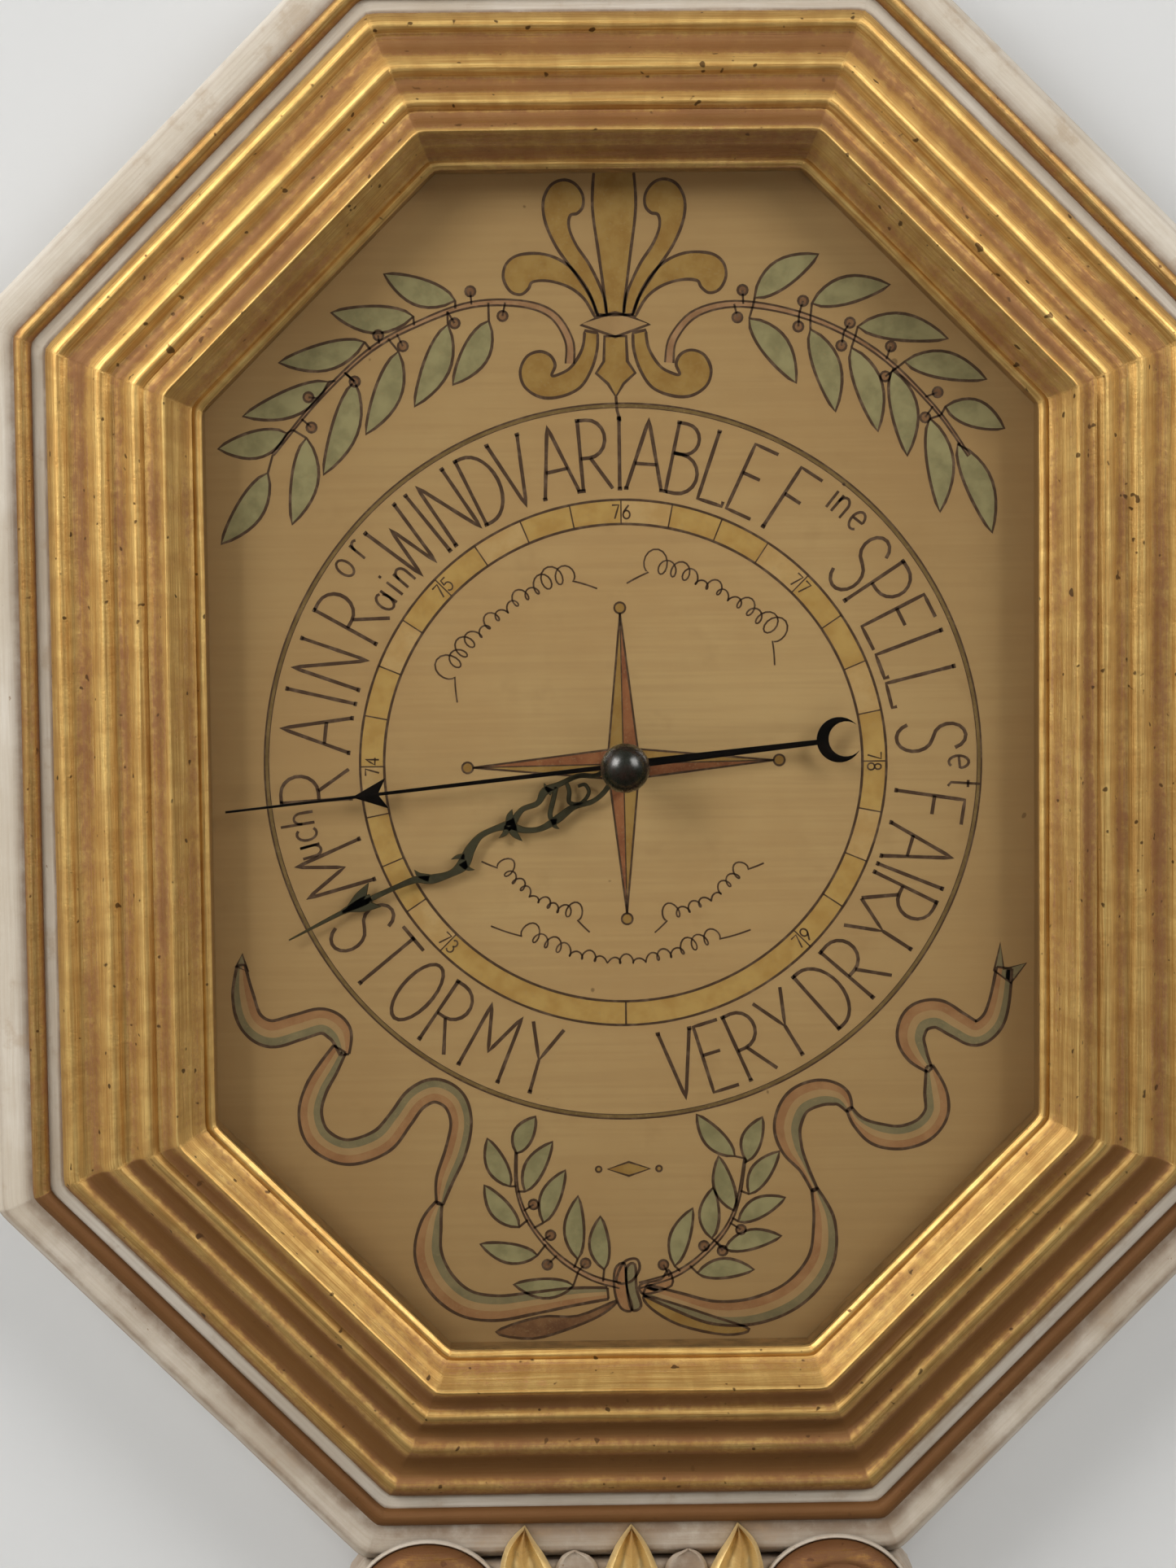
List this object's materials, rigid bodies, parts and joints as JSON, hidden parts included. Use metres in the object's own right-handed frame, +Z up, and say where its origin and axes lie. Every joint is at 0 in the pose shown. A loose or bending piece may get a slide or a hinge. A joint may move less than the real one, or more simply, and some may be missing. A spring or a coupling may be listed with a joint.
{
  "type": "octagonal wall barometer",
  "caption": "Octagonal gilt and cream wall barometer with a paper dial, aneroid movement, indicating hand and knob-turned set hand.",
  "frame": {"origin": "on the axis of the hands, at the wall face of the back cover", "axes": "+Z up, -Y towards the viewer through the dial, +X to the viewer's right; +Y points into the wall"},
  "size_m": [0.395, 0.0618, 0.6103],
  "materials": {
    "cream": "distressed grey-white paint on wood",
    "gilt": "water-gilt gesso on wood, gold leaf over red bole, rubbed",
    "glass": "clear polished sheet glass",
    "spacer": "tan stained fillet",
    "paper": "aged hand-coloured paper on a backing sheet",
    "wood": "plain pine",
    "brass": "turned and filed brass",
    "steel": "filed steel",
    "hand": "blued steel gone grey",
    "black": "blackened polished steel"
  },
  "bodies": {
    "case": {"case_body": "cream", "gilt_bead": "gilt", "back_cover": "wood", "cover_screw_1": "brass", "cover_screw_2": "brass", "cover_screw_3": "brass", "cover_screw_4": "brass", "frame_rail_top": "gilt", "frame_rail_top_right": "gilt", "frame_rail_right": "gilt", "frame_rail_bottom_right": "gilt", "frame_rail_bottom": "gilt", "frame_rail_bottom_left": "gilt", "frame_rail_left": "gilt", "frame_rail_top_left": "gilt", "glass_pane": "glass", "glazing_spacer": "spacer", "glass_bush": "brass", "dial_plate": "paper", "dial_board": "wood", "board_batten_top": "wood", "board_batten_bottom": "wood", "pendant_board": "cream", "leaf_middle": "gilt", "leaf_right": "gilt", "leaf_left": "gilt", "volute_right": "gilt", "volute_left": "gilt", "pendant_calyx": "gilt", "pendant_drop": "gilt", "hanging_plate": "brass", "hanging_plate_screw_1": "steel", "hanging_plate_screw_2": "steel", "movement_plate": "brass", "movement_screw_1": "steel", "movement_screw_2": "steel", "movement_screw_3": "steel", "vacuum_capsule": "brass", "spring_bracket": "steel", "shaft_bearing_left": "brass", "shaft_bearing_right": "brass", "arbor_bridge": "brass", "bridge_pillar_left": "brass", "bridge_pillar_right": "brass", "hairspring": "steel", "knob_washer": "brass"},
    "pointer": {"hand_arbor": "steel", "hand_collet": "hand", "indicating_hand": "hand"},
    "set_hand_group": {"set_hand": "black", "set_arbor": "steel", "set_knob": "black"},
    "capsule_post_group": {"capsule_post": "steel"},
    "lever": {"main_spring": "steel", "lever_arm": "steel", "link_rod": "brass"},
    "rocker": {"rocking_shaft": "steel"},
    "chain_group": {"chain": "steel"},
    "adjuster": {"adjusting_screw": "steel"},
    "hanger": {"hanging_ring": "steel"}
  },
  "joints": [
    {"name": "pointer_turn", "type": "hinge", "parent": "case", "child": "pointer", "pos_m": [0, -0.037, 0], "axis": [0, 1, 0], "range_deg": [-18, 252]},
    {"name": "set_hand_turn", "type": "hinge", "parent": "case", "child": "set_hand_group", "pos_m": [0, -0.0402, 0], "axis": [0, 1, 0], "continuous": true},
    {"name": "lever_rock", "type": "hinge", "parent": "case", "child": "lever", "pos_m": [0, -0.0128, -0.0617], "axis": [1, 0, 0], "range_deg": [-0.17, 2.18]},
    {"name": "shaft_rock", "type": "hinge", "parent": "case", "child": "rocker", "pos_m": [0, -0.0126, 0.022], "axis": [1, 0, 0], "range_deg": [-37.53, 2.87]},
    {"name": "chain_run", "type": "slide", "parent": "case", "child": "chain_group", "axis": [0, 0, 1], "range_m": [-0.00048, 0.00611]},
    {"name": "capsule_squeeze", "type": "slide", "parent": "case", "child": "capsule_post_group", "axis": [0, -1, 0], "range_m": [-0.00009, 0.00105]},
    {"name": "adjusting_screw_turn", "type": "hinge", "parent": "case", "child": "adjuster", "pos_m": [0, -0.012, -0.067], "axis": [0, 1, 0], "continuous": true},
    {"name": "hanging_ring_swing", "type": "hinge", "parent": "case", "child": "hanger", "pos_m": [0, -0.0024, 0.238], "axis": [1, 0, 0], "range_deg": [0, 180]}
  ],
  "couplings": [
    {"joint": "lever_rock", "follows": "pointer_turn", "ratio": 0.008571},
    {"joint": "shaft_rock", "follows": "pointer_turn", "ratio": -0.14815},
    {"joint": "chain_run", "follows": "pointer_turn", "m_per_rad": 0.0013789},
    {"joint": "capsule_squeeze", "follows": "pointer_turn", "m_per_rad": 0.0002376}
  ]
}
